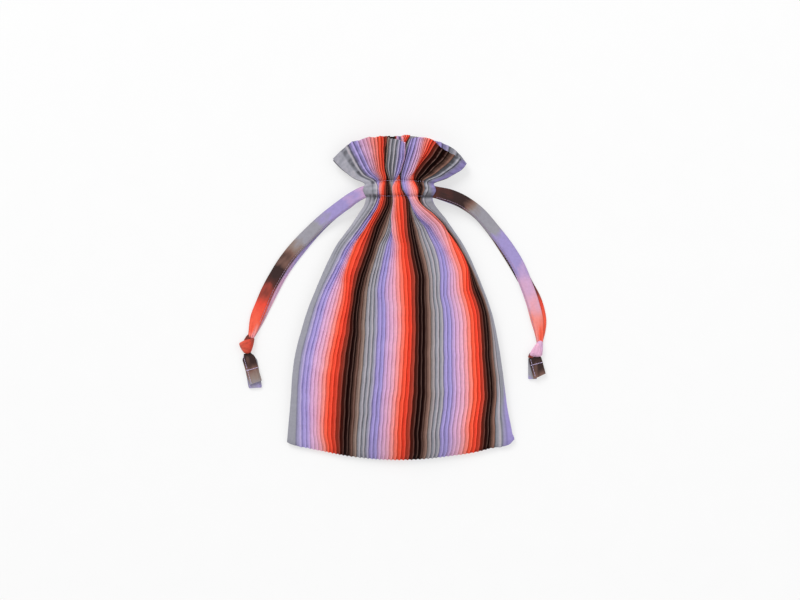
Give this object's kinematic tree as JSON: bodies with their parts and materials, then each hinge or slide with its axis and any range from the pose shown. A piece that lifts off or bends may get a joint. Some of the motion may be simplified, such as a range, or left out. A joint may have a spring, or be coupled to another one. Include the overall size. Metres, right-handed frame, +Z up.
{
  "type": "pleated drawstring bag",
  "caption": "Soft pleated cloth bag lying flat, gathered by drawcords in a casing below a flared ruffle, its cords doubled and knotted at each side.",
  "frame": {"origin": "middle of the bag's length and width, on the surface that it lies on, cords left out", "axes": "+X across the bag to the right, +Y from the hem to the ruffle, +Z up from the surface"},
  "size_m": [0.2838, 0.3, 0.0266],
  "materials": {
    "pleated_cloth": "pleated polyester cloth with a soft sheen, striped grey, lavender, pink, coral, brown and black",
    "cord_cloth": "the same cloth unpleated, folded into a flat topstitched cord"
  },
  "bodies": {
    "root": {"front_panel": "pleated_cloth", "back_panel": "pleated_cloth", "left_cord_upper": "cord_cloth", "left_cord_lower": "cord_cloth", "right_cord_upper": "cord_cloth", "right_cord_lower": "cord_cloth", "left_knot": "cord_cloth", "right_knot": "cord_cloth", "left_tail_upper": "cord_cloth", "left_tail_lower": "cord_cloth", "right_tail_upper": "cord_cloth", "right_tail_lower": "cord_cloth"}
  },
  "joints": []
}
